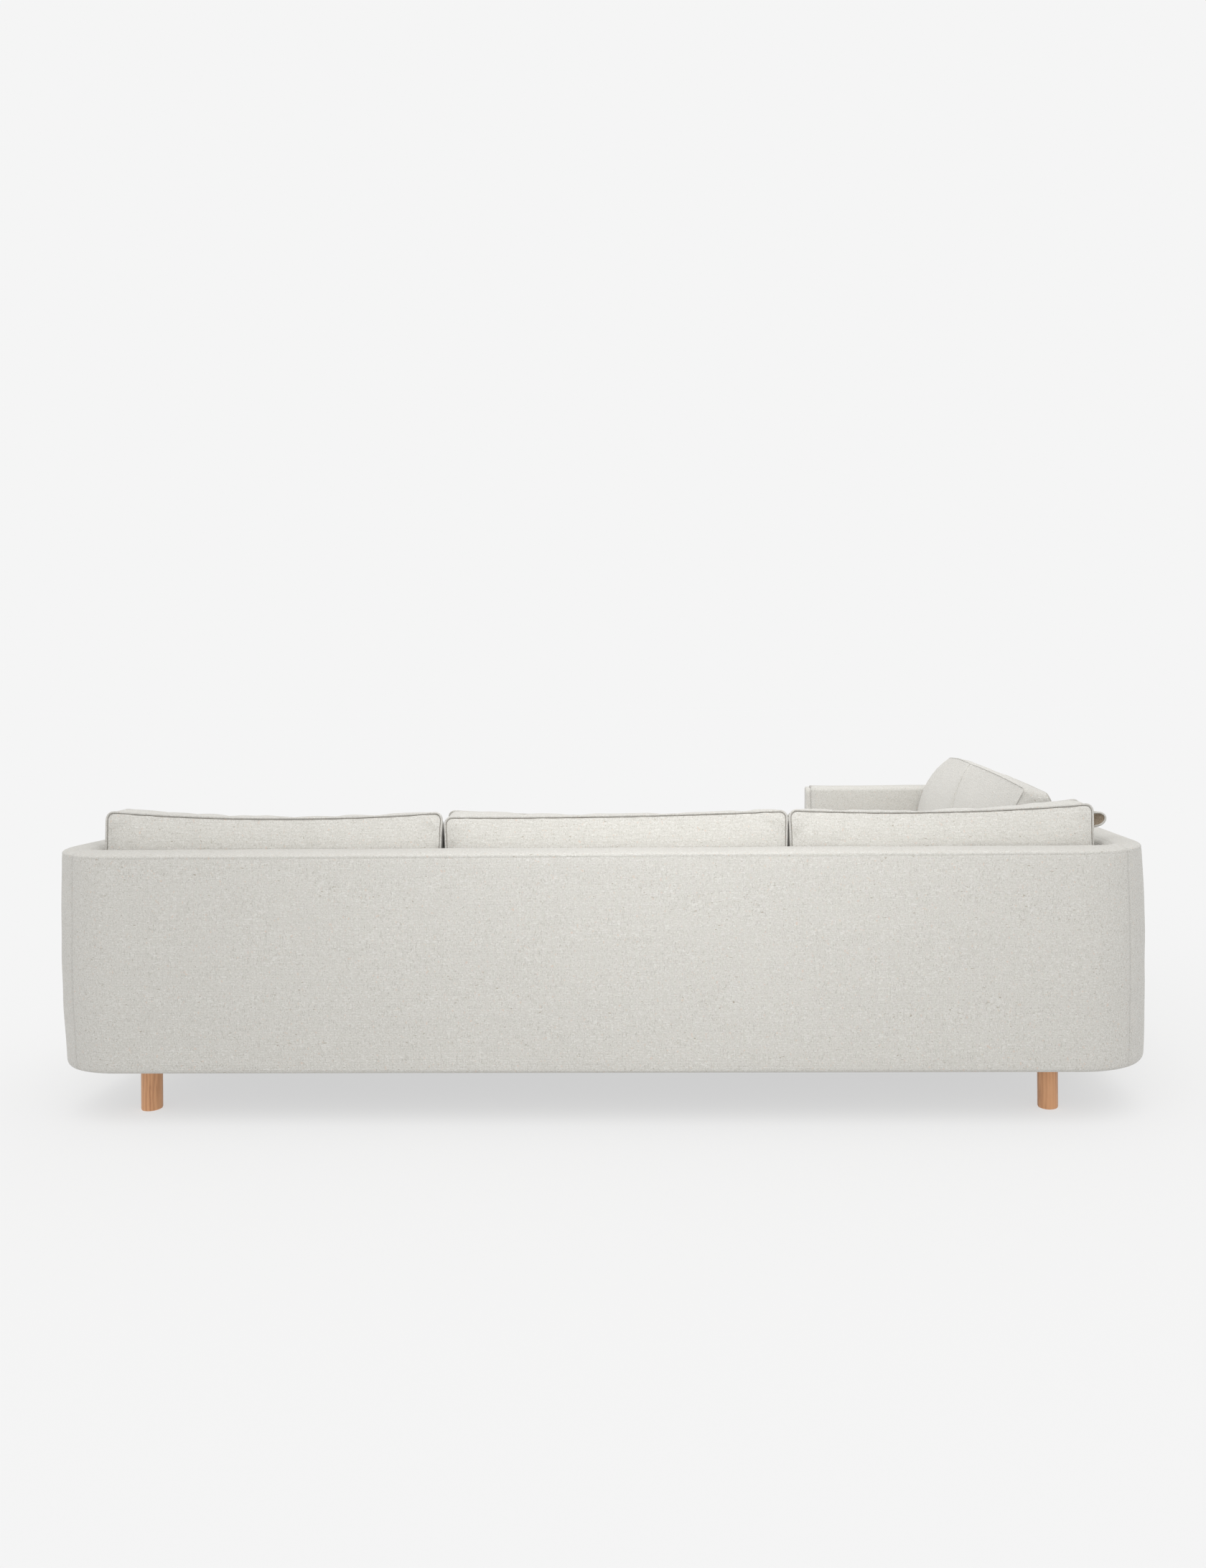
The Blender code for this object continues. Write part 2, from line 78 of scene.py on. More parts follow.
# Sizes read from the frame, in metres
LEFT, RIGHT = HIGH.x, LOW.x
BACK, FAR_END = HIGH.y, LOW.y
COVER_LOW, COVER_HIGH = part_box("cover_main_back")
PANEL_LOW, PANEL_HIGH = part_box("panel_left_arm_front")
WALL = COVER_HIGH.y - COVER_LOW.y
BODY_BOTTOM = COVER_LOW.z
RIM = COVER_HIGH.z
MEETING = PANEL_LOW.y                   # where the return meets the long run
PANEL_DEPTH = PANEL_HIGH.y - MEETING
RETURN_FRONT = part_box("panel_return_arm_front")[1].x
DECK_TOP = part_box("deck_cloth_main")[1].z

# Upholstered walls
CORNER_RADIUS = 0.22
INSIDE_RADIUS = 0.020
SHELL = 0.008                           # thickness of the padded cover
RING_STEP = 0.024                       # spacing of stations along a straight wall
CORNER_STEPS = 18
FOOT_ROUND = 0.012
SHOULDER = 0.013                        # rounding from the rim seam to the top
INNER_ROUND = 0.020                     # rounding from the top to the wall's inside
WALL_INSET = 0.0035                     # how far the cover stays inside the CAD face
RIM_LIFT = 0.001                        # the rim's flat part above the CAD rim
CROWN = 0.004                           # how much the rim's top bulges
SEAM_HEIGHT = RIM - 0.010
SEAM_HALF = 0.0030
SEAM_EDGE = 0.010                       # where a seam's fine spacing starts
SEAM_DEPTH = 0.0007
RIM_SEAM_SHADE = 0.055
SIDE_SEAM_SHADE = 0.13
SECTION_GAP = 0.0004                    # each section's cover stops this short of the other's
LEFT_SEAM_TURN = math.radians(57)       # round the left corner, from the arm's side
RIGHT_SEAM_TURN = math.radians(38)      # round the right corner, from the back
RETURN_SEAM_TURN = math.radians(60)
FOOT_TUCK_FROM = 0.50                   # the walls lean in below this height ...
RIM_TUCK_FROM = 0.38                    # ... and above this one, by these curvatures (foot, rim)
LEFT_TUCK = (0.105, 0.030)
RIGHT_TUCK = (0.055, 0.075)
RETURN_TUCK = (0.090, 0.060)

# Cushions
PIPING = 0.0028                         # radius of the cord in a seam
SLIM_PIPING = 0.0014
CUSHION_CORNER = 0.020
SEAT_CORNER = 0.028
# radius of the dark cord that paints the shadow in a seam's groove
SEAM_SHADOW_RADIUS = 0.0006
SEAM_SHADOW_INSET = 0.0034                   # from the seam to the dark cord that paints the seam's shadow
FRONT_BEND = 5.2                        # how late a back cushion's front leans back as it rises
REAR_BEND = 4
UPRIGHT = (0.0, 0.0, 1.0)               # an end's lean at its rear and front, and its bend
WALL_GAP = 0.004                        # a cushion's start, inside its CAD box
FOOT_GAP = 0.004
# Back cushions: the front's start inside its box, how far its top and the rear's lean in, how far
# the panels may swell, and how far the rear may swell out over the rim
LONG_SETBACK, LONG_TILT, LONG_REAR_TILT = 0.016, 0.045, 0.022
LONG_CROWN, LONG_OVERHANG = 0.020, 0.006
RETURN_SETBACK, RETURN_CROWN, RETURN_OVERHANG = 0.018, 0.030, 0.045
SEAT_CROWN = 0.024
SEAT_TOP_GAP = 0.012                    # room for a seat's crown under its box's top
SEAT_PULL = 0.006                       # how far a seat cushion's sides pull in
BACK_PULL = 0.005
PANEL_CROWN = 0.0035
SIM_FRAMES = 18
PRESSURE = 4.0

# Camera, measured from the middle of the long back
CAMERA_SIDE = -0.388
CAMERA_BACK = 3.06
CAMERA_HEIGHT = 1.10
CAMERA_YAW = 0.0139
CAMERA_ROLL = 0.0067
LENS = 27.40
SHIFT_X = -0.0787
SHIFT_Y = -0.0542
SENSOR = 36.0

# Studio
FLOOR_COLOUR, FLOOR_GLOW, FLOOR_REACH = 0.267, 0.600, 120.0
SURROUND = 0.913
SUN_POWER, SUN_ANGLE = 0.9, math.radians(50)
SUN_WAY = (0.05, -0.45, -1.0)


# ---------------------------------------------------------------- mesh helpers
def make_object(name, points, faces, material):
    """A smooth mesh object in the row frame from an array of points and a list of faces."""
    mesh = bpy.data.meshes.new(name)
    mesh.from_pydata([tuple(p) for p in points], [], faces)
    mesh.materials.append(material)
    mesh.shade_smooth()
    piece = bpy.data.objects.new(name, mesh)
    bpy.context.scene.collection.objects.link(piece)
    return piece


def sheet_faces(rows, columns):
    """Quads of a grid of points."""
    faces = []
    for row in range(rows - 1):
        for column in range(columns - 1):
            a = row * columns + column
            faces.append((a, a + 1, a + 1 + columns, a + columns))
    return faces


def applied(piece):
    """Bake a piece's modifiers into its mesh."""
    graph = bpy.context.evaluated_depsgraph_get()
    baked = bpy.data.meshes.new_from_object(piece.evaluated_get(graph))
    piece.modifiers.clear()
    old = piece.data
    piece.data = baked
    baked.name = piece.name
    bpy.data.meshes.remove(old)
    return piece


def point_array(mesh):
    """A mesh's points as an array."""
    flat = np.empty(len(mesh.vertices) * 3, np.float32)
    mesh.vertices.foreach_get("co", flat)
    return flat.reshape(-1, 3).astype(float)


def normal_array(mesh):
    """A mesh's vertex normals as an array."""
    flat = np.empty(len(mesh.vertices) * 3, np.float32)
    mesh.vertex_normals.foreach_get("vector", flat)
    return flat.reshape(-1, 3).astype(float)


def set_points(mesh, points):
    """Write an array of points back to a mesh."""
    mesh.vertices.foreach_set("co", points.astype(np.float32).ravel())
    mesh.update()


def ripple(points, waves_per_metre, seed, terms=7):
    """Smooth unevenness from -1 to 1: a few sine waves in fixed random directions."""
    dice = np.random.default_rng(seed)
    total = np.zeros(len(points))
    for _ in range(terms):
        direction = dice.normal(size=3)
        direction /= np.linalg.norm(direction)
        pitch = waves_per_metre * dice.uniform(0.6, 1.5) * 2 * math.pi
        total += np.sin(points @ direction * pitch + dice.uniform(0, 2 * math.pi))
    return total / math.sqrt(terms * 2)


def smooth_step(low, high, value):
    """0 below low, 1 above high, with an eased rise between."""
    share = np.clip((value - low) / (high - low), 0.0, 1.0)
    return share * share * (3 - 2 * share)


def add_tube(name, path, radius, material, sides=8):
    """A cord of small radius round a closed, nearly flat path of points."""
    path = np.asarray(path, float)
    along = np.roll(path, -1, 0) - np.roll(path, 1, 0)
    along /= np.linalg.norm(along, axis=1)[:, None]
    centre = path.mean(0)
    spread = np.linalg.svd(path - centre, full_matrices=False)[2]
    axis = spread[2]
    side = np.cross(along, axis)
    side /= np.linalg.norm(side, axis=1)[:, None]
    up = np.cross(side, along)
    rings = []
    for step in range(sides):
        angle = 2 * math.pi * step / sides
        rings.append(path + radius * (math.cos(angle) * side + math.sin(angle) * up))
    points = np.stack(rings, 1).reshape(-1, 3)
    count = len(path)
    faces = []
    for ring in range(count):
        after = (ring + 1) % count
        for step in range(sides):
            turn = (step + 1) % sides
            faces.append((
                ring * sides + step, after * sides + step,
                after * sides + turn, ring * sides + turn,
            ))
    return make_object(name, points, faces, material)


# ---------------------------------------------------------------- materials
class Nodes:
    """Short names for building a material's nodes."""

    def __init__(self, name, roughness, metallic=0.0):
        self.material = bpy.data.materials.new(name)
        self.material.use_nodes = True
        self.tree = self.material.node_tree
        self.shader = self.tree.nodes["Principled BSDF"]
        self.shader.inputs["Roughness"].default_value = roughness
        self.shader.inputs["Metallic"].default_value = metallic
        self.place = self.tree.nodes.new("ShaderNodeTexCoord").outputs["Object"]

    def link(self, source, target):
        self.tree.links.new(source, target)

    def mapped(self, scale, rotation=(0.0, 0.0, 0.0)):
        node = self.tree.nodes.new("ShaderNodeMapping")
        node.inputs["Scale"].default_value = scale
        node.inputs["Rotation"].default_value = rotation
        self.link(self.place, node.inputs["Vector"])
        return node.outputs["Vector"]

    def noise(self, vector, scale, detail, roughness=0.5):
        node = self.tree.nodes.new("ShaderNodeTexNoise")
        node.inputs["Scale"].default_value = scale
        node.inputs["Detail"].default_value = detail
        node.inputs["Roughness"].default_value = roughness
        self.link(vector, node.inputs["Vector"])
        return node.outputs["Fac"]

    def mask(self, value, low, high):
        """Black below low, white above high."""
        node = self.tree.nodes.new("ShaderNodeValToRGB")
        for element, position, grey in zip(node.color_ramp.elements, (low, high), (0.0, 1.0)):
            element.position = position
            element.color = (grey, grey, grey, 1.0)
        self.link(value, node.inputs["Fac"])
        return node.outputs["Color"]

    def mix(self, factor, first, second):
        """Blend two colours; each value may be a socket or a constant."""
        node = self.tree.nodes.new("ShaderNodeMix")
        node.data_type = "RGBA"
        sockets = (node.inputs[0], node.inputs[6], node.inputs[7])   # factor and the two colours
        for socket, value in zip(sockets, (factor, first, second)):
            if isinstance(value, bpy.types.NodeSocket):
                self.link(value, socket)
            elif isinstance(value, tuple):
                socket.default_value = (*value, 1.0)
            else:
                socket.default_value = value
        return node.outputs[2]

    def math(self, operation, first, second=None):
        """A sum, product or sine of sockets and constants."""
        node = self.tree.nodes.new("ShaderNodeMath")
        node.operation = operation
        for socket, value in zip(node.inputs, (first, second)):
            if isinstance(value, bpy.types.NodeSocket):
                self.link(value, socket)
            elif value is not None:
                socket.default_value = value
        return node.outputs[0]

    def threads(self, pitch):
        """Rows of threads along each axis, as a height from -3 to 3."""
        parts = self.tree.nodes.new("ShaderNodeSeparateXYZ")
        self.link(self.place, parts.inputs[0])
        turn = 2 * math.pi / pitch
        waves = [self.math("SINE", self.math("MULTIPLY", out, turn)) for out in parts.outputs]
        return self.math("ADD", self.math("ADD", waves[0], waves[1]), waves[2])

    def colour(self, source):
        self.link(source, self.shader.inputs["Base Color"])

    def bump(self, height, distance, strength=1.0):
        node = self.tree.nodes.new("ShaderNodeBump")
        node.inputs["Distance"].default_value = distance
        node.inputs["Strength"].default_value = strength
        self.link(height, node.inputs["Height"])
        self.link(node.outputs["Normal"], self.shader.inputs["Normal"])


def fabric_material(name, tint=1.0, crease=True):
    """Heathered oatmeal weave: slubs along each axis, warm, dark and light specks, fine threads.

    With the flag set, a mesh's seam attribute darkens the colour at its seams: painted shade in the
    seam furrows."""
    kit = Nodes(name, 0.92)

    def tinted(red, green, blue):
        return tint * red, tint * green, tint * blue

    fine, long = 460, 140
    along_x = kit.noise(kit.mapped((long, fine, fine)), 1.0, 1.0)
    along_y = kit.noise(kit.mapped((fine, long, fine)), 1.0, 1.0)
    along_z = kit.noise(kit.mapped((fine, fine, long)), 1.0, 1.0)
    light = tinted(0.630, 0.621, 0.592)
    colour = kit.mix(kit.mask(along_x, 0.50, 0.72), tinted(0.532, 0.519, 0.484), light)
    colour = kit.mix(kit.mask(along_z, 0.54, 0.76), colour, tinted(0.412, 0.396, 0.361))
    colour = kit.mix(kit.mask(along_y, 0.54, 0.76), colour, light)
    speck = kit.noise(kit.mapped((110, 240, 260)), 1.0, 0.0)
    colour = kit.mix(kit.mask(speck, 0.78, 0.87), colour, tinted(0.36, 0.33, 0.28))
    warm = kit.noise(kit.mapped((190, 190, 140), (0.3, 0.5, 0.2)), 1.0, 0.0)
    colour = kit.mix(kit.mask(warm, 0.74, 0.84), colour, tinted(0.57, 0.49, 0.43))
    mottle = kit.noise(kit.place, 7.0, 3.0)
    soft = kit.math("MULTIPLY", kit.mask(mottle, 0.40, 0.70), 0.03)
    colour = kit.mix(soft, colour, tinted(0.60, 0.58, 0.53))
    # painted shade: the mesh's seam attribute darkens the colour at the seams
    if crease:
        mark = kit.tree.nodes.new("ShaderNodeAttribute")
        mark.attribute_name = "crease"
        colour = kit.mix(mark.outputs["Fac"], colour, (0.060, 0.048, 0.036))
    kit.colour(colour)
    height = kit.math("MULTIPLY", kit.threads(0.0034), 0.25)
    height = kit.math("ADD", height, kit.math("ADD", along_x, along_z))
    kit.bump(height, 0.0009, 0.70)
    kit.shader.inputs["Sheen Weight"].default_value = 0.20
    kit.shader.inputs["Sheen Roughness"].default_value = 0.45
    kit.shader.inputs["Specular IOR Level"].default_value = 0.18
    return kit.material


def wood_material(name, pale, deep, pore, roughness):
    """Grain that runs up the piece, with open pores and slow colour bands."""
    kit = Nodes(name, roughness)
    bands = kit.tree.nodes.new("ShaderNodeTexWave")
    bands.wave_type = "RINGS"
    bands.rings_direction = "Y"
    bands.inputs["Scale"].default_value = 1.0
    bands.inputs["Distortion"].default_value = 5.0
    bands.inputs["Detail"].default_value = 3.0
    bands.inputs["Detail Scale"].default_value = 1.2
    kit.link(kit.mapped((34, 30, 6)), bands.inputs["Vector"])
    colour = kit.mix(bands.outputs["Fac"], pale, deep)
    streak = kit.noise(kit.mapped((300, 300, 16)), 1.0, 4.0, 0.65)
    colour = kit.mix(kit.mask(streak, 0.52, 0.74), colour, pore)
    slow = kit.noise(kit.mapped((22, 22, 5)), 1.0, 2.0)
    colour = kit.mix(kit.mask(slow, 0.40, 0.70), colour, pale)
    kit.colour(colour)
    kit.bump(streak, 0.0005, 0.5)
    return kit.material


def cloth_material(name, colour, other, pitch):
    """A plain technical cloth with visible threads."""
    kit = Nodes(name, 0.90)
    fleck = kit.noise(kit.place, 260.0, 2.0)
    kit.colour(kit.mix(kit.mask(fleck, 0.40, 0.65), colour, other))
    kit.bump(kit.threads(pitch), 0.0004, 0.8)
    return kit.material


def steel_material(name):
    """Zinc-plated sheet with fine brushing."""
    kit = Nodes(name, 0.38, metallic=1.0)
    brush = kit.noise(kit.mapped((40, 900, 900)), 1.0, 2.0)
    kit.colour(kit.mix(kit.mask(brush, 0.35, 0.65), (0.50, 0.50, 0.51), (0.62, 0.62, 0.63)))
    kit.bump(brush, 0.0001, 0.4)
    return kit.material


FABRIC = fabric_material("upholstery_weave")
# the same weave painted 6.5% lighter for the long run's back cushions: painted light
LIT_CUSHION_FABRIC = fabric_material("cushion_weave_painted_lighter", tint=1.065)
PIPING_FABRIC = fabric_material("piping_weave", tint=0.97, crease=False)
# dark brown cloth inside the folded corner: painted shade of the fold's hollow
FOLD_SHADE_FABRIC = cloth_material("shaded_fold", (0.34, 0.27, 0.20), (0.44, 0.36, 0.27), 0.0025)
# a dark cord laid beside the seams: painted shadow of the groove between the piping and the panel
SEAM_SHADOW_FABRIC = cloth_material("painted_seam_shadow", (0.12, 0.10, 0.078), (0.19, 0.16, 0.125), 0.0015)
WOOD = wood_material(
    "leg_wood_grain", (0.69, 0.36, 0.180), (0.50, 0.235, 0.110), (0.29, 0.11, 0.045), 0.42)
PINE = wood_material(
    "frame_pine_grain", (0.62, 0.46, 0.28), (0.50, 0.34, 0.18), (0.36, 0.24, 0.12), 0.75)
LINING = cloth_material("black_lining_cloth", (0.030, 0.030, 0.032), (0.055, 0.055, 0.057), 0.0020)
ELASTIC = cloth_material("webbing_elastic", (0.16, 0.13, 0.10), (0.24, 0.20, 0.16), 0.0030)
STEEL = steel_material("zinc_steel")


def finish_frame_nodes():
    """Give every CAD node that stays in view its detailed material."""
    looks = (
        (("leg_",), WOOD),
        (("post_", "rail_", "top_plate_"), PINE),
        (("dust_cover_", "deck_cloth_"), LINING),
        (("webbing_",), ELASTIC),
        (("connector_",), STEEL),
    )
    for name, node in NODES.items():
        for starts, material in looks:
            if name.startswith(starts):
                node.data.materials.clear()
                node.data.materials.append(material)


# ---------------------------------------------------------------- upholstered walls
def wall_section():
    """Across a wall from under its foot, up the outside, over the rim, down the inside.

    Rows of (depth from the outside, height, share of the rim seam's furrow)."""
    under = (WALL - 0.0005, 0.085, 0.055, FOOT_ROUND + 0.008)
    rows = [(depth, BODY_BOTTOM, 0.0) for depth in under]
    for step in range(7):
        angle = -math.pi / 2 - step / 6 * math.pi / 2
        rows.append((
            FOOT_ROUND * (1 + math.cos(angle)),
            BODY_BOTTOM + FOOT_ROUND * (1 + math.sin(angle)),
            0.0,
        ))
    start = BODY_BOTTOM + FOOT_ROUND
    end = SEAM_HEIGHT - SEAM_EDGE
    count = 20
    for step in range(1, count + 1):
        rows.append((0.0, start + step / count * (end - start), 0.0))
    furrow = ((-0.006, 0.0), (-SEAM_HALF, 0.25), (-0.001, 1.0), (0.001, 1.0), (SEAM_HALF, 0.2))
    for offset, share in furrow:
        rows.append((0.0004, SEAM_HEIGHT + offset, share))
    top = RIM + RIM_LIFT
    for step in range(5):
        angle = math.pi - (step + 1) / 5 * math.pi / 2 * 0.95
        rows.append((
            SHOULDER * (1 + math.cos(angle)),
            SEAM_HEIGHT + SEAM_HALF + (top - SEAM_HEIGHT - SEAM_HALF) * math.sin(angle),
            0.0,
        ))
    for share in (0.2, 0.34, 0.5, 0.66, 0.8):
        rows.append((WALL * share, top + CROWN * math.sin(math.pi * share), 0.0))
    for step in range(6):
        angle = math.pi / 2 - step / 5 * math.pi / 2
        rows.append((
            WALL - INNER_ROUND + INNER_ROUND * math.cos(angle),
            top - INNER_ROUND + INNER_ROUND * math.sin(angle),
            0.0,
        ))
    for height in (0.62, 0.54, 0.46, 0.38, 0.30, DECK_TOP, BODY_BOTTOM + 0.01):
        rows.append((WALL, height, 0.0))
    return rows


def inside_point(share):
    """A corner's inside, seen from its centre: two short straights with a small round between."""
    reach = CORNER_RADIUS - WALL
    straight = reach - INSIDE_RADIUS
    curve = math.pi / 2 * INSIDE_RADIUS
    run = share * (2 * straight + curve)
    if run < straight:
        return Vector((reach, run))
    if run > straight + curve:
        return Vector((straight - (run - straight - curve), reach))
    angle = (run - straight) / INSIDE_RADIUS
    return Vector((
        straight + INSIDE_RADIUS * math.cos(angle), straight + INSIDE_RADIUS * math.sin(angle)))


def straight_stations(start, end, outward):
    """Stations along a straight wall.

    Each is (outer point, inner point, outward, share of the rim seam, share of a side seam)."""
    length = (end - start).length
    count = max(2, round(length / RING_STEP))
    stations = []
    for step in range(count + 1):
        outer = start.lerp(end, step / count)
        stations.append((outer, outer - outward * WALL, outward, 1.0, 0.0))
    return stations


def corner_stations(centre, turn, seam_turn):
    """Stations round a corner from turn to turn + 90 degrees, with a vertical seam at seam_turn."""
    seam = seam_turn * CORNER_RADIUS
    total = math.pi / 2 * CORNER_RADIUS
    spots = [step / CORNER_STEPS * total for step in range(CORNER_STEPS + 1)]
    spots = [s for s in spots if abs(s - seam) > SEAM_EDGE + SEAM_HALF]
    spots += [seam - SEAM_EDGE, seam - SEAM_HALF, seam - 0.001]
    spots += [seam + 0.001, seam + SEAM_HALF, seam + SEAM_EDGE]
    rotate = Matrix.Rotation(turn, 2)
    stations = []
    for spot in sorted(spots):
        share = spot / total
        angle = share * math.pi / 2
        outward = Vector((math.cos(angle), math.sin(angle)))
        outer = centre + rotate @ (outward * CORNER_RADIUS)
        inner = centre + rotate @ inside_point(share)
        fade = abs(2 * share - 1)
        away = abs(spot - seam)
        furrow = 1.0 if away < 0.002 else 0.25 if away < 0.004 else 0.0
        stations.append((outer, inner, rotate @ outward, fade, furrow))
    return stations


def tuck_at(height, tuck):
    """How far a wall leans in at a height."""
    foot = np.maximum(FOOT_TUCK_FROM - height, 0.0)
    rim = np.maximum(height - RIM_TUCK_FROM, 0.0)
    return WALL_INSET + tuck[0] * foot * foot + tuck[1] * rim * rim


def blended(first, second, share):
    """A tuck between two others."""
    return tuple(a + (b - a) * share for a, b in zip(first, second))


def add_wall(name, stations, tucks, seed):
    """The padded cover of a run of walls: a shell swept through its stations."""
    section = wall_section()
    points = np.empty((len(stations), len(section), 3))
    crease = np.zeros((len(stations), len(section)))
    for row, (outer, inner, outward, rim_share, furrow) in enumerate(stations):
        for column, (depth, height, rim_seam) in enumerate(section):
            share = max(depth, 0.0) / WALL
            spot = outer.lerp(inner, share)
            side_seam = furrow if depth < 0.02 else 0.0
            sink = SEAM_DEPTH * max(rim_seam * rim_share, side_seam)
            sink += tuck_at(height, tucks[row]) * (1 - min(share, 1.0))
            spot = spot - outward * sink
            points[row, column] = (spot.x, spot.y, height)
            # painted shade in the furrows of the rim seam and of the side seams
            rim_shade = RIM_SEAM_SHADE * rim_seam * rim_share
            crease[row, column] = max(rim_shade, SIDE_SEAM_SHADE * side_seam)
    flat = points.reshape(-1, 3)
    # slow and quick unevenness of the padding, outward on the faces and upward on the rim
    uneven = 0.0011 * ripple(flat, 2.2, seed) + 0.0005 * ripple(flat, 9.0, seed + 1)
    outward_x = np.repeat([station[2].x for station in stations], len(section))
    outward_y = np.repeat([station[2].y for station in stations], len(section))
    depth_share = np.tile([row[0] for row in section], len(stations)) / WALL
    face = np.where(depth_share < 0.9, 1.0, 0.0) * (flat[:, 2] > BODY_BOTTOM + 0.02)
    flat[:, 0] += outward_x * uneven * face
    flat[:, 1] += outward_y * uneven * face
    on_top = (depth_share > 0.1) & (depth_share < 0.95)
    flat[:, 2] += np.where(on_top, uneven, 0.0) * (flat[:, 2] > RIM - 0.03)
    faces = [tuple(reversed(quad)) for quad in sheet_faces(len(stations), len(section))]
    cover = make_object(name, flat, faces, FABRIC)
    mark = cover.data.attributes.new("crease", "FLOAT", "POINT")
    mark.data.foreach_set("value", crease.reshape(-1).astype(np.float32))
    shell = cover.modifiers.new("Solidify", "SOLIDIFY")
    shell.thickness = SHELL
    shell.offset = -1.0
    shell.use_even_offset = True
    return applied(cover)


def add_walls():
    """Covers of the long run and of the return."""
    x_side = Vector((1.0, 0.0))
    y_side = Vector((0.0, 1.0))
    radius = CORNER_RADIUS
    left_centre = Vector((LEFT - radius, BACK - radius))
    right_centre = Vector((RIGHT + radius, BACK - radius))
    far_centre = Vector((RIGHT + radius, FAR_END + radius))
    main = straight_stations(
        Vector((LEFT, MEETING + PANEL_DEPTH)), Vector((LEFT, BACK - radius)), x_side)[:-1]
    main += corner_stations(left_centre, 0.0, LEFT_SEAM_TURN)[:-1]
    main += straight_stations(
        Vector((LEFT - radius, BACK)), Vector((RIGHT + radius, BACK)), y_side)[:-1]
    main += corner_stations(right_centre, math.pi / 2, RIGHT_SEAM_TURN)[:-1]
    main += straight_stations(
        Vector((RIGHT, BACK - radius)), Vector((RIGHT, MEETING + SECTION_GAP)), -x_side)
    back = straight_stations(
        Vector((RIGHT, MEETING - SECTION_GAP)), Vector((RIGHT, FAR_END + radius)), -x_side)[:-1]
    back += corner_stations(far_centre, math.pi, RETURN_SEAM_TURN)[:-1]
    back += straight_stations(
        Vector((RIGHT + radius, FAR_END)), Vector((RETURN_FRONT - PANEL_DEPTH, FAR_END)), -y_side)
    tucks = []
    for outer, _, outward, _, _ in main:
        tuck = blended(RIGHT_TUCK, LEFT_TUCK, (outer.x - RIGHT) / (LEFT - RIGHT))
        if abs(outward.x) > 0.99:
            tuck = blended(RETURN_TUCK, tuck, (outer.y - MEETING) / (BACK - radius - MEETING))
        tucks.append(tuck)
    cover = add_wall("upholstery_long_run", main, tucks, 11)
    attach(cover, "main_section")
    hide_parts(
        "cover_left_arm", "cover_left_corner", "cover_main_back",
        "cover_right_corner", "cover_right_side",
    )
    cover = add_wall("upholstery_return", back, [RETURN_TUCK] * len(back), 23)
    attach(cover, "return_section")
    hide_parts("cover_return_back", "cover_return_corner", "cover_return_arm")


# ---------------------------------------------------------------- boxed, piped cushions
def eased(count, gather=0.65):
    """Positions from -1 to 1 that lie closer together near the ends."""
    even = np.linspace(-1.0, 1.0, count + 1)
    return (1 - gather) * even + gather * np.sin(even * math.pi / 2)


def rounded(p, q, half_p, half_q, radius):
    """Map points of a rectangle so that every ring of it has round corners."""
    ring = np.maximum(np.abs(p) / half_p, np.abs(q) / half_q)
    corner = radius * ring
    over_p = np.abs(p) - (ring * half_p - corner)
    over_q = np.abs(q) - (ring * half_q - corner)
    inside = (over_p > 0) & (over_q > 0)
    reach = np.where(inside, np.hypot(over_p, over_q), 1.0)
    scale = np.where(inside, corner / np.maximum(reach, 1e-9), 1.0)
    new_p = np.where(inside, np.sign(p) * (ring * half_p - corner + over_p * scale), p)
    new_q = np.where(inside, np.sign(q) * (ring * half_q - corner + over_q * scale), q)
    return new_p, new_q


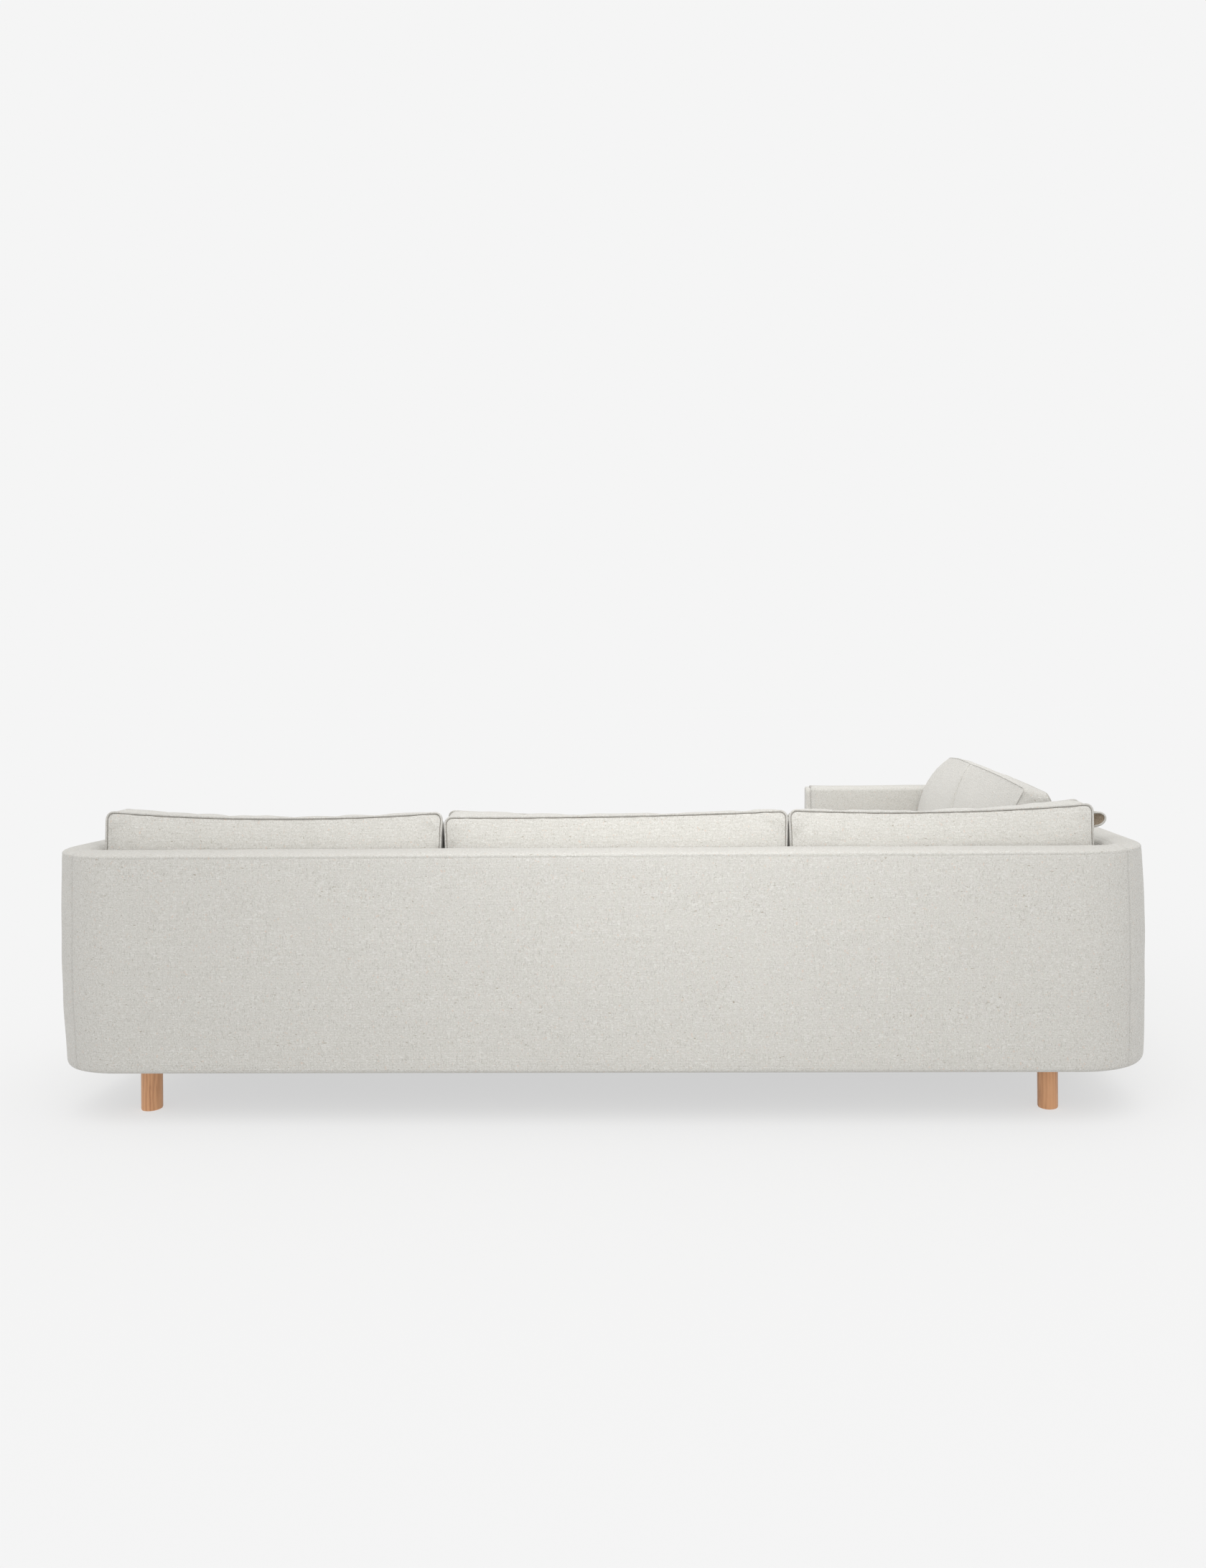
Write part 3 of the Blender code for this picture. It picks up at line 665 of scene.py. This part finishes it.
class Pad:
    """A boxed cushion: two panels and a boxing strip, in panel coordinates p, q and thickness t.

    t is 0 on the front panel and 1 on the rear one. warp maps (p, q, t) to the row frame."""

    def __init__(self, half_p, half_q, radius, thickness, step, warp):
        self.half_p, self.half_q, self.radius = half_p, half_q, radius
        self.warp = warp
        count_p = max(8, round(2 * half_p / step))
        count_q = max(6, round(2 * half_q / step))
        count_t = max(3, round(thickness / step))
        p_line = eased(count_p) * half_p
        q_line = eased(count_q) * half_q
        grid_p, grid_q = np.meshgrid(p_line, q_line, indexing="ij")
        grid_p, grid_q = rounded(grid_p, grid_q, half_p, half_q, radius)
        self.shape = grid_p.shape
        rim = [(i, 0) for i in range(count_p)]
        rim += [(count_p, j) for j in range(count_q)]
        rim += [(i, count_q) for i in range(count_p, 0, -1)]
        rim += [(0, j) for j in range(count_q, 0, -1)]
        flat = [i * self.shape[1] + j for i, j in rim]
        panel = grid_p.size
        parts = []
        for t in (0.0, 1.0):
            parts.append(np.stack([grid_p.ravel(), grid_q.ravel(), np.full(panel, t)], 1))
        rim_p = grid_p.ravel()[flat]
        rim_q = grid_q.ravel()[flat]
        strip_t = (eased(count_t, 0.5)[1:-1] + 1) / 2
        for t in strip_t:
            parts.append(np.stack([rim_p, rim_q, np.full(len(flat), t)], 1))
        self.local = np.concatenate(parts)
        faces = []
        rows, columns = self.shape
        for i in range(rows - 1):
            for j in range(columns - 1):
                a = i * columns + j
                quad = (a, a + columns, a + columns + 1, a + 1)
                faces.append(tuple(reversed(quad)))
                faces.append(tuple(panel + k for k in quad))
        loops = [flat]
        first = 2 * panel
        for row in range(len(strip_t)):
            loops.append([first + row * len(flat) + k for k in range(len(flat))])
        loops.append([panel + k for k in flat])
        for lower, upper in zip(loops, loops[1:]):
            for k in range(len(flat)):
                after = (k + 1) % len(flat)
                faces.append((lower[k], lower[after], upper[after], upper[k]))
        self.seams = (loops[0], loops[-1])
        self.points = warp(*self.local.T)
        corners = self.points[np.array(faces)]
        middle = self.points.mean(0)
        spread = np.cross(corners[:, 2] - corners[:, 0], corners[:, 3] - corners[:, 1])
        outward = ((corners.mean(1) - middle) * spread).sum()
        self.faces = faces if outward > 0 else [tuple(reversed(face)) for face in faces]

    def seam_path(self, t, inset=0.0, count=420):
        """The panel's outline at thickness t, evenly stepped, in the row frame."""
        half_p, half_q, radius = self.half_p - inset, self.half_q - inset, self.radius - inset
        mid_p, mid_q = half_p - radius, half_q - radius
        arc = math.pi / 2 * radius
        total = 4 * mid_p + 4 * mid_q + 4 * arc
        # for each side: its start, way and length, then the centre and first angle of its arc
        sides = (
            ((-mid_p, -half_q), (1, 0), 2 * mid_p, (mid_p, -mid_q), -90),
            ((half_p, -mid_q), (0, 1), 2 * mid_q, (mid_p, mid_q), 0),
            ((mid_p, half_q), (-1, 0), 2 * mid_p, (-mid_p, mid_q), 90),
            ((-half_p, mid_q), (0, -1), 2 * mid_q, (-mid_p, -mid_q), 180),
        )
        outline = []
        for k in range(count):
            run = k / count * total
            for start, way, straight, centre, angle in sides:
                if run <= straight:
                    outline.append((start[0] + way[0] * run, start[1] + way[1] * run))
                    break
                run -= straight
                if run <= arc:
                    turn = math.radians(angle) + run / radius
                    outline.append((
                        centre[0] + radius * math.cos(turn), centre[1] + radius * math.sin(turn)))
                    break
                run -= arc
        outline = np.array(outline)
        return self.warp(outline[:, 0], outline[:, 1], np.full(len(outline), t))


def inflate(pad, name, crown, weave):
    """Blow the pad up with a cloth simulation that holds its seams, and cap how far it moves."""
    start = pad.points
    piece = make_object(name, start, pad.faces, weave)
    held = piece.vertex_groups.new(name="seams")
    for seam in pad.seams:
        held.add(seam, 1.0, "REPLACE")
    cloth = piece.modifiers.new("Cloth", "CLOTH")
    cloth.settings.quality = 5
    cloth.settings.mass = 0.25
    cloth.settings.tension_stiffness = 12
    cloth.settings.compression_stiffness = 12
    cloth.settings.shear_stiffness = 5
    cloth.settings.bending_stiffness = 1.2
    cloth.settings.shrink_min = -0.015
    cloth.settings.use_pressure = True
    cloth.settings.uniform_pressure_force = PRESSURE
    cloth.settings.vertex_group_mass = "seams"
    cloth.settings.effector_weights.gravity = 0.0
    cloth.point_cache.frame_start = 1
    cloth.point_cache.frame_end = SIM_FRAMES
    scene = bpy.context.scene
    for step in range(1, SIM_FRAMES + 1):
        scene.frame_set(step)
    applied(piece)
    scene.frame_set(1)
    moved = point_array(piece.data) - start
    piece.vertex_groups.clear()
    length = np.maximum(np.linalg.norm(moved, axis=1), 1e-9)
    print(f"{name}: free swell {length.max() * 1000:.1f} mm")
    capped = crown * np.tanh(length / crown)
    set_points(piece.data, start + moved * (capped / length)[:, None])
    return piece


def seam_distance(pad, points):
    """How far each point is from the nearest seam."""
    seams = np.concatenate([pad.seam_path(0.0), pad.seam_path(1.0)])
    tree = KDTree(len(seams))
    for index, point in enumerate(seams):
        tree.insert(point, index)
    tree.balance()
    return np.array([tree.find(point)[2] for point in points])


def add_pad(name, pad, crown, body, node, seed, limit=None, simulate=True,
            pucker=0.0011, seam_shadowed=("front", "rear"), piped=("front", "rear"), cord=PIPING,
            weave=FABRIC):
    """Inflate a pad, refine it, add puckers along its seams, then pipe them and lay a dark cord
    beside a seam as painted shadow of its groove.

    crown is the most that its panels swell, and limit keeps its points clear of its neighbours."""
    if simulate:
        piece = inflate(pad, name, crown, weave)
    else:
        piece = make_object(name, pad.points, pad.faces, weave)
        reach_p = np.clip(1 - (pad.local[:, 0] / pad.half_p) ** 2, 0, 1)
        reach_q = np.clip(1 - (pad.local[:, 1] / pad.half_q) ** 2, 0, 1)
        on_panel = np.isin(pad.local[:, 2], (0.0, 1.0))
        swell = np.where(on_panel, (reach_p * reach_q) ** 0.35, 0.25)
        set_points(piece.data, pad.points + normal_array(piece.data) * (crown * swell)[:, None])
    sharp = {tuple(sorted(pair)) for seam in pad.seams for pair in zip(seam, seam[1:] + seam[:1])}
    # a piped seam stays sharp, a slim one less so, and a plain edge is soft
    hardness = 0.3 if not piped else 0.5 if cord < PIPING else 1.0
    creases = [
        hardness if tuple(sorted(edge.vertices)) in sharp else 0.0 for edge in piece.data.edges]
    piece.data.attributes.new("crease_edge", "FLOAT", "EDGE").data.foreach_set("value", creases)
    finer = piece.modifiers.new("Subdivision", "SUBSURF")
    finer.levels = 1
    finer.render_levels = 1
    applied(piece)
    points = point_array(piece.data)
    away = seam_distance(pad, points)
    normals = normal_array(piece.data)
    # puckers that fade away from the seams, and a slow unevenness of the panels
    near = np.exp(-away / 0.028) * np.clip(away / 0.010, 0, 1)
    lift = pucker * near * ripple(points, 26.0, seed)
    lift += 0.0012 * ripple(points, 4.5, seed + 1) * np.clip(away / 0.04, 0, 1)
    points = points + normals * lift[:, None]
    if limit is not None:
        points = limit(points)
    set_points(piece.data, points)
    if "crease_edge" in piece.data.attributes:
        piece.data.attributes.remove(piece.data.attributes["crease_edge"])
    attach(piece, body)
    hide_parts(node)
    for side, t in (("front", 0.0), ("rear", 1.0)):
        if side not in piped:
            continue
        path = pad.seam_path(t)
        middle = pad.warp(np.array([0.0]), np.array([0.0]), np.array([0.5]))[0]
        outward = path - middle
        outward /= np.linalg.norm(outward, axis=1)[:, None]
        welt = add_tube(f"{name}_piping_{side}", path + outward * cord * 0.25, cord, PIPING_FABRIC)
        welt.parent = piece
        # a dark cord in the groove beside the piping: painted shadow of the seam's groove
        if side in seam_shadowed:
            laid = [
                tuple(piece.closest_point_on_mesh(Vector(point))[1])
                for point in pad.seam_path(t, SEAM_SHADOW_INSET)
            ]
            shadow_cord = add_tube(f"{name}_stitch_{side}", laid, SEAM_SHADOW_RADIUS, SEAM_SHADOW_FABRIC, sides=6)
            shadow_cord.parent = piece
    return piece


def back_pad(along_low, along_high, foot, tops, fronts, rears, turn, leans=(UPRIGHT, UPRIGHT)):
    """Pad for a loose back cushion.

    along_low and along_high bound it along its wall. tops gives the rear's and the front's top
    heights, each at the low end, the middle and the high end. fronts and rears give a face's place
    at the foot, then at the top of the low and high ends. It curves towards them by FRONT_BEND or
    REAR_BEND. leans gives how far the top of each end leans along the wall, as (at the rear, at
    the front, bend). turn maps (along, across, height) to the row frame.
    """
    half_p = (along_high - along_low) / 2
    middle = (along_high + along_low) / 2
    mean_top = float(np.mean(tops))
    half_q = (mean_top - foot) / 2

    def three(values, share):
        """A curve through values at shares 0, 0.5 and 1."""
        low, centre, high = values
        total = low * (share - 0.5) * (share - 1) * 2 - centre * share * (share - 1) * 4
        return total + high * share * (share - 0.5) * 2

    def warp(p, q, t):
        share = (p / half_p + 1) / 2
        rise = (q / half_q + 1) / 2
        top = three(tops[0], share) * t + three(tops[1], share) * (1 - t)
        height = foot + rise * (top - foot)
        front_top = fronts[1] + (fronts[2] - fronts[1]) * share
        rear_top = rears[1] + (rears[2] - rears[1]) * share
        front = fronts[0] + (front_top - fronts[0]) * rise ** FRONT_BEND
        rear = rears[0] + (rear_top - rears[0]) * rise ** REAR_BEND
        pull_p = 1 - BACK_PULL / half_p * (1 - (q / half_q) ** 2)
        low_lean, high_lean = (
            (at_rear * t + at_front * (1 - t)) * np.clip(rise, 0, 1) ** bend_up
            for at_rear, at_front, bend_up in leans
        )
        along = middle + p * pull_p + low_lean * (1 - share) + high_lean * share
        across = front + (rear - front) * t
        return turn(along, across, height)

    return Pad(half_p, half_q, CUSHION_CORNER, abs(rears[0] - fronts[0]), 0.020, warp)


def along_x(along, across, height):
    """Row frame points of a cushion on the long run."""
    return np.stack([along, across, height], 1)


def along_y(along, across, height):
    """Row frame points of a cushion on the return."""
    return np.stack([across, along, height], 1)


def hold_to_wall(axis, wall, sign, overhang):
    """Keep a cushion's rear clear of its wall below the rim, and let it swell a little above."""
    def limit(points):
        allowed = wall + sign * overhang * smooth_step(RIM - 0.004, RIM + 0.020, points[:, 2])
        if sign > 0:
            points[:, axis] = np.minimum(points[:, axis], allowed)
        else:
            points[:, axis] = np.maximum(points[:, axis], allowed)
        points[:, 2] = np.maximum(points[:, 2], DECK_TOP + 0.0006)
        return points
    return limit


def add_back_cushions():
    """Five loose back cushions, each sagged and leaned in its own way."""
    # name, gaps at its ends, rear and front tops, leans, seed
    long_run = (
        (
            "back_cushion_main_1", (-0.0015, 0.021),
            ((0.799, 0.785, 0.806), (0.782, 0.772, 0.802)),
            ((0.002, 0.036, 0.0), (0.003, 0.028, 1.5)), 31,
        ),
        (
            "back_cushion_main_2", (0.003, 0.018),
            ((0.799, 0.787, 0.786), (0.784, 0.774, 0.792)),
            (UPRIGHT, (0.013, 0.034, 1.5)), 37,
        ),
        (
            "back_cushion_main_3", (0.024, 0.002),
            ((0.813, 0.794, 0.801), (0.815, 0.780, 0.784)),
            (UPRIGHT, UPRIGHT), 41,
        ),
    )
    for name, (low_gap, high_gap), tops, leans, seed in long_run:
        low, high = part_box(name)
        front, rear = low.y + LONG_SETBACK, high.y - WALL_GAP
        pad = back_pad(
            low.x + low_gap, high.x - high_gap, low.z + FOOT_GAP, tops,
            (front, front + LONG_TILT, front + LONG_TILT),
            (rear, rear - LONG_REAR_TILT, rear - LONG_REAR_TILT), along_x, leans,
        )
        # their weave is the lighter copy: painted light on the cushions' backs
        add_pad(
            name + "_soft", pad, LONG_CROWN, "loose_" + name, name, seed,
            limit=hold_to_wall(1, high.y, 1, LONG_OVERHANG), weave=LIT_CUSHION_FABRIC,
        )
    # name, gaps at its ends, rear and front tops, setbacks of the front's top, of the rear's, seed
    leaned = (
        (
            "back_cushion_return_1", (0.008, 0.006),
            ((0.829, 0.825, 0.812), (0.856, 0.846, 0.827)),
            (0.071, 0.071), (0.049, 0.059), 43,
        ),
        (
            "back_cushion_return_2", (0.010, 0.008),
            ((0.818, 0.824, 0.820), (0.834, 0.850, 0.856)),
            (0.148, 0.074), (-0.020, 0.034), 47,
        ),
    )
    for name, (low_gap, high_gap), tops, setback, rear_top, seed in leaned:
        low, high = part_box(name)
        front, rear = high.x - RETURN_SETBACK, low.x + WALL_GAP
        pad = back_pad(
            low.y + low_gap, high.y - high_gap, low.z + FOOT_GAP, tops,
            (front, front - setback[0], front - setback[1]),
            (rear, rear + rear_top[0], rear + rear_top[1]), along_y,
        )
        add_pad(
            name + "_soft", pad, RETURN_CROWN, "loose_" + name, name, seed,
            limit=hold_to_wall(0, low.x, -1, RETURN_OVERHANG), seam_shadowed=("rear",),
            cord=SLIM_PIPING,
        )


def add_corner_ear():
    """The folded corner of the boxing that sticks out past the third back cushion's free end; its
    dark brown is painted shade inside the fold.
    """
    tip, root = -1.365, -1.334              # its ends along the wall
    low, high = 0.749, 0.786                # its foot and its top
    place = 0.992                           # its open rear edge
    rows, columns = 9, 13
    points = []
    for row in range(rows):
        ring = row / (rows - 1)
        for column in range(columns):
            turn = math.pi * column / (columns - 1)
            out = ring * math.sin(turn) ** 0.8
            x = root + (tip - root) * out
            z = (low + high) / 2 + 0.004 * out + ring * (high - low) / 2 * math.cos(turn)
            hollow = 0.010 * (1 - ring ** 2)
            points.append((x, place - hollow, z))
    fold = make_object("back_cushion_main_3_fold", points, sheet_faces(rows, columns), FOLD_SHADE_FABRIC)
    cloth = fold.modifiers.new("Solidify", "SOLIDIFY")
    cloth.thickness = 0.0015
    applied(fold)
    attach(fold, "loose_back_cushion_main_3")
    rim = np.array(points[-columns:])
    back = rim[::-1] + np.array([0.006, -0.010, 0.0])
    edge = np.concatenate([rim + np.array([0.0, 0.003, 0.0]), back])
    cord = add_tube("back_cushion_main_3_fold_piping", edge, PIPING, PIPING_FABRIC)
    cord.parent = fold


def add_seat_cushions():
    """Five loose seat cushions, crowned on top and flat underneath."""
    for index, name in enumerate((
        "seat_cushion_main_1", "seat_cushion_main_2", "seat_cushion_corner",
        "seat_cushion_return_1", "seat_cushion_return_2",
    )):
        low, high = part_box(name)
        half_p = (high.x - low.x) / 2 - WALL_GAP
        half_q = (high.y - low.y) / 2 - WALL_GAP
        centre = (low + high) / 2
        foot = low.z + 0.002
        top = high.z - SEAT_TOP_GAP

        def warp(p, q, t, centre=centre, foot=foot, top=top, half_p=half_p, half_q=half_q):
            x = centre.x + p * (1 - SEAT_PULL / half_p * (1 - (q / half_q) ** 2))
            y = centre.y + q * (1 - SEAT_PULL / half_q * (1 - (p / half_p) ** 2))
            return np.stack([x, y, foot + (top - foot) * t], 1)

        def limit(points, foot=foot, low=low, high=high):
            points[:, 2] = np.maximum(points[:, 2], foot - 0.001)
            for axis in (0, 1):
                points[:, axis] = np.clip(points[:, axis], low[axis] - 0.0005, high[axis] + 0.0005)
            return points

        pad = Pad(half_p, half_q, SEAT_CORNER, top - foot, 0.024, warp)
        add_pad(
            name + "_soft", pad, SEAT_CROWN, "loose_" + name, name, 51 + 2 * index,
            limit=limit,
        )


def add_front_panels():
    """Padded panels on the arms' fronts and along the fronts of the seat bases."""
    # name, body, axis and side it faces, outer end of an arm's front and that wall's tuck
    panels = (
        ("panel_left_arm_front", "main_section", 1, -1, 1, LEFT_TUCK),
        ("fascia_main", "main_section", 1, -1, 0, LEFT_TUCK),
        ("panel_return_arm_front", "return_section", 0, 1, -1, RETURN_TUCK),
        ("fascia_return", "return_section", 0, 1, 0, RETURN_TUCK),
    )
    for index, (name, body, axis, side, outer, tuck) in enumerate(panels):
        low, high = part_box(name)
        across = 1 - axis
        if outer:
            high.z -= 0.0005            # an arm's front stays just under the rim
        half_p = (high[across] - low[across]) / 2 - 0.001
        half_q = (high.z - low.z) / 2 - 0.001
        centre = (low + high) / 2
        front = low[axis] + 0.004 if side < 0 else high[axis] - 0.004
        rear = high[axis] if side < 0 else low[axis]

        def warp(p, q, t, centre=centre, across=across, axis=axis, front=front, rear=rear,
                 half_p=half_p, outer=outer, tuck=tuck):
            points = np.empty((len(p), 3))
            points[:, across] = centre[across] + p
            points[:, axis] = front + (rear - front) * t
            points[:, 2] = centre.z + q
            lean = 0.001 + tuck_at(points[:, 2], tuck)
            points[:, across] -= outer * lean * (1 + outer * p / half_p) / 2
            return points

        pad = Pad(half_p, half_q, CUSHION_CORNER, PANEL_DEPTH, 0.020, warp)
        add_pad(
            name + "_soft", pad, PANEL_CROWN, body, name, 71 + 2 * index,
            simulate=False, pucker=0.0006, seam_shadowed=(), piped=() if outer else ("front",),
        )


# ---------------------------------------------------------------- floor, light and camera
def add_floor():
    """A wide pale floor that glows a little, so that the shadow under the sofa stays soft."""
    material = bpy.data.materials.new("studio_floor")
    material.use_nodes = True
    shader = material.node_tree.nodes["Principled BSDF"]
    shader.inputs["Base Color"].default_value = (*[FLOOR_COLOUR] * 3, 1.0)
    shader.inputs["Roughness"].default_value = 1.0
    shader.inputs["Specular IOR Level"].default_value = 0.0
    shader.inputs["Emission Color"].default_value = (1.0, 1.0, 1.0, 1.0)
    shader.inputs["Emission Strength"].default_value = FLOOR_GLOW
    reach = FLOOR_REACH
    corners = [(-reach, -reach, 0), (reach, -reach, 0), (reach, reach, 0), (-reach, reach, 0)]
    floor = make_object("studio_floor_plane", corners, [(0, 1, 2, 3)], material)


def add_softbox(name, place, aim, spread, power):
    """A soft rectangular light that shines on the sofa only and that the camera can't see."""
    data = bpy.data.lights.new(name, "AREA")
    data.shape = "RECTANGLE"
    data.size = 0.7
    data.size_y = 0.4
    data.energy = power
    data.spread = math.radians(spread)
    lamp = bpy.data.objects.new(name, data)
    lamp.location = place
    lamp.rotation_euler = (Vector(aim) - Vector(place)).to_track_quat("-Z", "Y").to_euler()
    lamp.visible_camera = False
    bpy.context.scene.collection.objects.link(lamp)
    lit = bpy.data.collections.new(name + "_receivers")
    for piece in bpy.data.objects:
        if piece.type == "MESH" and not piece.name.startswith("studio_floor"):
            lit.objects.link(piece)
    lamp.light_linking.receiver_collection = lit


def add_light():
    """An even white surround, a soft high sun and two softboxes: on the back, and on the seats."""
    world = bpy.data.worlds.new("studio_surround")
    world.use_nodes = True
    surround = world.node_tree.nodes["Background"]
    surround.inputs["Color"].default_value = (*[SURROUND] * 3, 1.0)
    surround.inputs["Strength"].default_value = 1.0
    bpy.context.scene.world = world
    data = bpy.data.lights.new("high_sun", "SUN")
    data.energy = SUN_POWER
    data.angle = SUN_ANGLE
    lamp = bpy.data.objects.new("high_sun", data)
    lamp.rotation_euler = Vector(SUN_WAY).to_track_quat("-Z", "Y").to_euler()
    bpy.context.scene.collection.objects.link(lamp)
    add_softbox("back_softbox", (-0.24, BACK + 1.35, 1.95), (-0.24, BACK, 0.46), 125, 7.8)
    add_softbox("inner_softbox", (-0.20, 0.9, 2.6), (-0.95, -0.9, 0.75), 85, 5.6)


def add_camera():
    """The camera behind the long back, a little to the photo's right, looking level."""
    data = bpy.data.cameras.new("camera")
    data.sensor_width = SENSOR
    data.lens = LENS
    data.shift_x = SHIFT_X
    data.shift_y = SHIFT_Y
    camera = bpy.data.objects.new("camera", data)
    camera.location = (CAMERA_SIDE, BACK + CAMERA_BACK, CAMERA_HEIGHT)
    ahead = Vector((math.sin(CAMERA_YAW), -math.cos(CAMERA_YAW), 0.0))
    level = ahead.to_track_quat("-Z", "Y").to_matrix()
    camera.rotation_euler = (level @ Matrix.Rotation(-CAMERA_ROLL, 3, "Z")).to_euler()
    bpy.context.scene.collection.objects.link(camera)
    bpy.context.scene.camera = camera


finish_frame_nodes()
add_walls()
add_back_cushions()
add_corner_ear()
add_seat_cushions()
add_front_panels()
add_floor()
add_light()
add_camera()
bpy.context.scene.view_settings.view_transform = "Standard"
